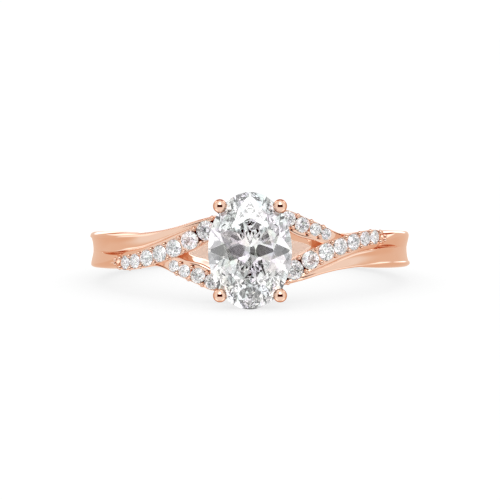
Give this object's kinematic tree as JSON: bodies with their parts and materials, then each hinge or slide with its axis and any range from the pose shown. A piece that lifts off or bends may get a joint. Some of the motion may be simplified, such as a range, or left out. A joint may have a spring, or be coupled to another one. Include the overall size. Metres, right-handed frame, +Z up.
{
  "type": "split shank engagement ring",
  "caption": "Rose gold ring with an oval stone in four ball prongs; a fluted shank divides on each side into a plain strand and crossing strands set with small round stones.",
  "frame": {"origin": "centre of the finger hole, with the ring lying on its side as it rests on a table", "axes": "+X to the wearer's side at the right of the head as the camera sees it, -Y from the finger hole towards the head with the oval stone, +Z up; the finger axis is +Z tipped 6.57 degrees towards +Y, because the oval stone's lower end raises the head"},
  "size_m": [0.0204, 0.0236, 0.007],
  "materials": {
    "rose_gold": "polished 14 carat rose gold",
    "diamond": "cut and polished clear stone",
    "small_diamond": "cut and polished clear stone"
  },
  "bodies": {
    "root": {"gold_ring": "rose_gold", "oval_stone": "diamond", "left_long_1": "small_diamond", "left_long_2": "small_diamond", "left_long_3": "small_diamond", "left_long_4": "small_diamond", "left_long_5": "small_diamond", "left_long_6": "small_diamond", "left_long_7": "small_diamond", "left_short_1": "small_diamond", "left_short_2": "small_diamond", "left_short_3": "small_diamond", "left_short_4": "small_diamond", "right_long_1": "small_diamond", "right_long_2": "small_diamond", "right_long_3": "small_diamond", "right_long_4": "small_diamond", "right_long_5": "small_diamond", "right_long_6": "small_diamond", "right_long_7": "small_diamond", "right_short_1": "small_diamond", "right_short_2": "small_diamond", "right_short_3": "small_diamond", "right_short_4": "small_diamond"}
  },
  "joints": []
}
